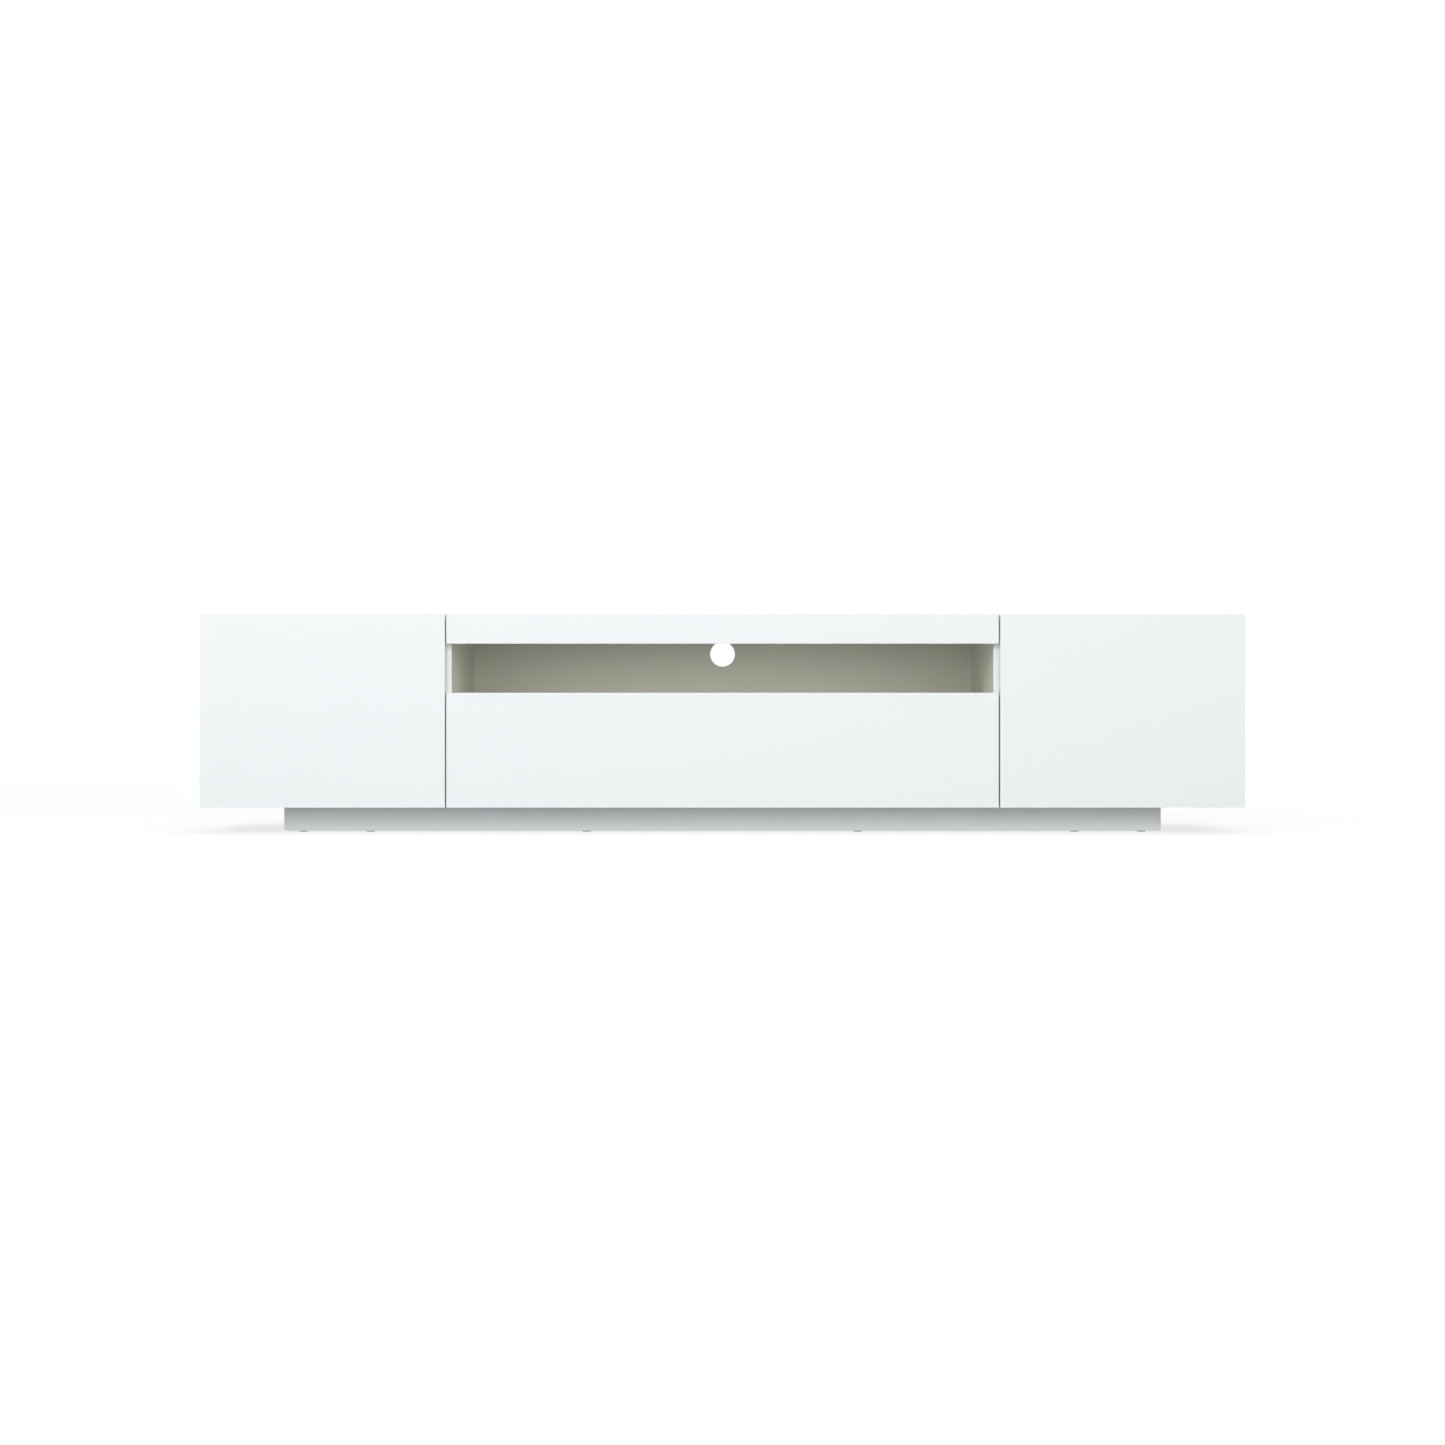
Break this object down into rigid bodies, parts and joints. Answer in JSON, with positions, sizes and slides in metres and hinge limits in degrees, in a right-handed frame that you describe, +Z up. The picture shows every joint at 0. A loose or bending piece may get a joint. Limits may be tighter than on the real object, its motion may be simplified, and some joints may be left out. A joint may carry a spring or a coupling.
{
  "type": "tv stand with doors",
  "caption": "Low wide media cabinet on a recessed plinth, with hinged end doors, an open niche with a cable hole and a drop-down flap below it.",
  "frame": {"origin": "on the floor below the middle of the cabinet", "axes": "+X along the width to the viewer's right, -Y out of the fronts, +Z up"},
  "size_m": [2, 0.4, 0.42],
  "materials": {
    "white_lacquer": "high gloss lacquer on board",
    "white_melamine": "satin melamine on board",
    "back_board": "satin foil on thin fibreboard",
    "nickel_steel": "nickel plated, satin",
    "zinc": "zinc plated casting, matt",
    "beech": "plain turned beech",
    "grey_plastic": "moulded, fine texture",
    "clear_bumper": "soft translucent elastomer"
  },
  "bodies": {
    "cabinet": {"top_panel": "white_lacquer", "bottom_panel": "white_lacquer", "left_side_panel": "white_lacquer", "right_side_panel": "white_lacquer", "left_partition": "white_melamine", "right_partition": "white_melamine", "niche_floor": "white_melamine", "niche_fascia": "white_lacquer", "left_back_panel": "back_board", "centre_back_panel": "back_board", "right_back_panel": "back_board", "plinth_front": "white_lacquer", "plinth_back": "white_lacquer", "plinth_left": "white_lacquer", "plinth_right": "white_lacquer", "plinth_cross_rails": "white_melamine", "plinth_glides": "grey_plastic", "plinth_brackets": "zinc", "plinth_screws": "nickel_steel", "left_shelf": "white_melamine", "right_shelf": "white_melamine", "shelf_pins": "nickel_steel", "cam_locks": "zinc", "cam_bolts": "nickel_steel", "dowels": "beech", "left_hinge_plates": "nickel_steel", "right_hinge_plates": "nickel_steel", "flap_hinge_plates": "nickel_steel", "left_hinge_arms": "nickel_steel", "right_hinge_arms": "nickel_steel", "flap_hinge_arms": "nickel_steel", "hinge_plate_screws": "nickel_steel", "stay_tracks": "nickel_steel", "stay_track_screws": "zinc", "latch_housings": "grey_plastic"},
    "left_links": {"left_hinge_links": "zinc"},
    "right_links": {"right_hinge_links": "zinc"},
    "flap_links": {"flap_hinge_links": "zinc"},
    "left_door": {"left_door": "white_lacquer", "left_hinge_cups": "nickel_steel", "left_cup_screws": "zinc", "left_strike_plate": "nickel_steel", "left_bumpers": "clear_bumper"},
    "right_door": {"right_door": "white_lacquer", "right_hinge_cups": "nickel_steel", "right_cup_screws": "zinc", "right_strike_plate": "nickel_steel", "right_bumpers": "clear_bumper"},
    "flap": {"flap_door": "white_lacquer", "flap_hinge_cups": "nickel_steel", "flap_screws": "zinc", "flap_strike_plates": "nickel_steel", "flap_bumpers": "clear_bumper", "stay_brackets": "nickel_steel"},
    "stay_arms": {"stay_arms": "nickel_steel"},
    "left_plunger": {"left_latch_plunger": "grey_plastic"},
    "right_plunger": {"right_latch_plunger": "grey_plastic"},
    "flap_plungers": {"flap_latch_plungers": "grey_plastic"}
  },
  "joints": [
    {"name": "left_door_hinge", "type": "hinge", "parent": "left_links", "child": "left_door", "pos_m": [-0.991, -0.188, 0.235], "axis": [0, 0, -1], "range_deg": [0, 116.38]},
    {"name": "left_link_pivot", "type": "hinge", "parent": "cabinet", "child": "left_links", "pos_m": [-0.973, -0.188, 0.235], "axis": [0, 0, -1], "range_deg": [-24, 0]},
    {"name": "right_door_hinge", "type": "hinge", "parent": "right_links", "child": "right_door", "pos_m": [0.991, -0.188, 0.235], "axis": [0, 0, 1], "range_deg": [0, 116.38]},
    {"name": "right_link_pivot", "type": "hinge", "parent": "cabinet", "child": "right_links", "pos_m": [0.973, -0.188, 0.235], "axis": [0, 0, 1], "range_deg": [-24, 0]},
    {"name": "flap_hinge", "type": "hinge", "parent": "flap_links", "child": "flap", "pos_m": [0, -0.188, 0.059], "axis": [1, 0, 0], "range_deg": [0, 110.25]},
    {"name": "flap_link_pivot", "type": "hinge", "parent": "cabinet", "child": "flap_links", "pos_m": [0, -0.188, 0.077], "axis": [1, 0, 0], "range_deg": [-23, 0]},
    {"name": "stay_arm_pivot", "type": "hinge", "parent": "flap", "child": "stay_arms", "pos_m": [0, -0.165, 0.16], "axis": [1, 0, 0], "range_deg": [-63, 0]},
    {"name": "left_latch_slide", "type": "slide", "parent": "cabinet", "child": "left_plunger", "axis": [0, -1, 0], "range_m": [0, 0.015]},
    {"name": "right_latch_slide", "type": "slide", "parent": "cabinet", "child": "right_plunger", "axis": [0, -1, 0], "range_m": [0, 0.015]},
    {"name": "flap_latch_slide", "type": "slide", "parent": "cabinet", "child": "flap_plungers", "axis": [0, -1, 0], "range_m": [0, 0.015]}
  ],
  "couplings": [
    {"joint": "left_link_pivot", "follows": "left_door_hinge", "ratio": -0.18367},
    {"joint": "right_link_pivot", "follows": "right_door_hinge", "ratio": -0.18367},
    {"joint": "flap_link_pivot", "follows": "flap_hinge", "ratio": -0.18367},
    {"joint": "stay_arm_pivot", "follows": "flap_hinge", "ratio": -0.54422},
    {"joint": "left_latch_slide", "follows": "left_door_hinge", "m_per_rad": 0.006893},
    {"joint": "right_latch_slide", "follows": "right_door_hinge", "m_per_rad": 0.006893},
    {"joint": "flap_latch_slide", "follows": "flap_hinge", "m_per_rad": 0.007276}
  ]
}
